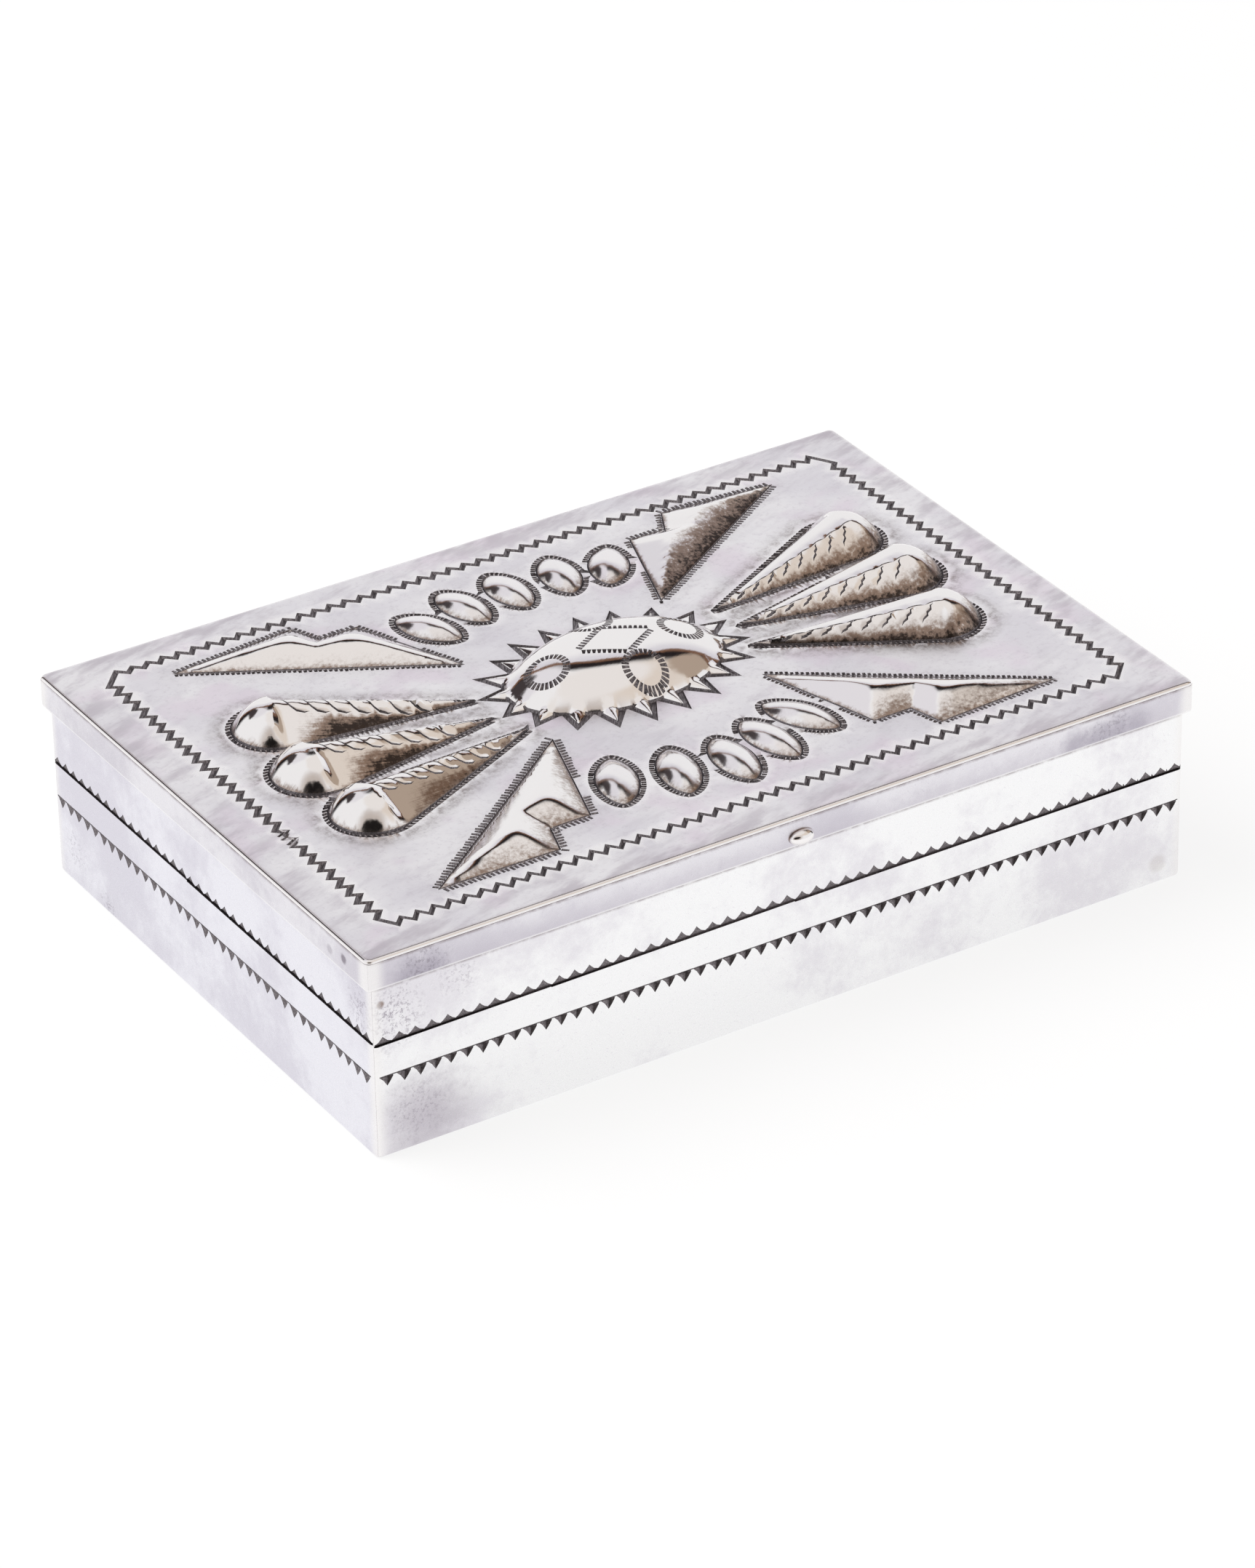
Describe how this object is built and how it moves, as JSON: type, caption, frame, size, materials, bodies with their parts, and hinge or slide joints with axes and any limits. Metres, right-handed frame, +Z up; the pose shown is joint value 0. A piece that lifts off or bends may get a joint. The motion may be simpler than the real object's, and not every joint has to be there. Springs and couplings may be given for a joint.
{
  "type": "hinged silver box",
  "caption": "Rectangular silver keepsake box with a shallow hinged lid, chased with a central boss, feathers, drops and bent arrows inside a stamped zigzag border.",
  "frame": {"origin": "centre of the underside of the floor", "axes": "+X along the long front edge to the right, +Y towards the hinged back, +Z up"},
  "size_m": [0.1146, 0.0816, 0.0315],
  "materials": {
    "chased_silver": "polished silver with blackened stamped lines and a satin ground",
    "satin_silver": "satin silver with fine scratches",
    "hinge_silver": "dull silver, soldered"
  },
  "bodies": {
    "box": {"base_plate": "satin_silver", "wall_front": "satin_silver", "wall_right": "satin_silver", "wall_back": "satin_silver", "wall_left": "satin_silver", "hinge_rail_body": "hinge_silver", "body_knuckle_left": "hinge_silver", "body_knuckle_centre": "hinge_silver", "body_knuckle_right": "hinge_silver", "hinge_pin": "hinge_silver"},
    "lid": {"lid_top_plate": "chased_silver", "lid_skirt_front": "satin_silver", "lid_skirt_right": "satin_silver", "lid_skirt_back": "satin_silver", "lid_skirt_left": "satin_silver", "thumb_bead": "chased_silver", "hinge_rail_lid": "hinge_silver", "lid_knuckle_left": "hinge_silver", "lid_knuckle_right": "hinge_silver"}
  },
  "joints": [
    {"name": "lid_hinge", "type": "hinge", "parent": "box", "child": "lid", "pos_m": [0, 0.04, 0.0215], "axis": [-1, 0, 0], "range_deg": [0, 108]}
  ]
}
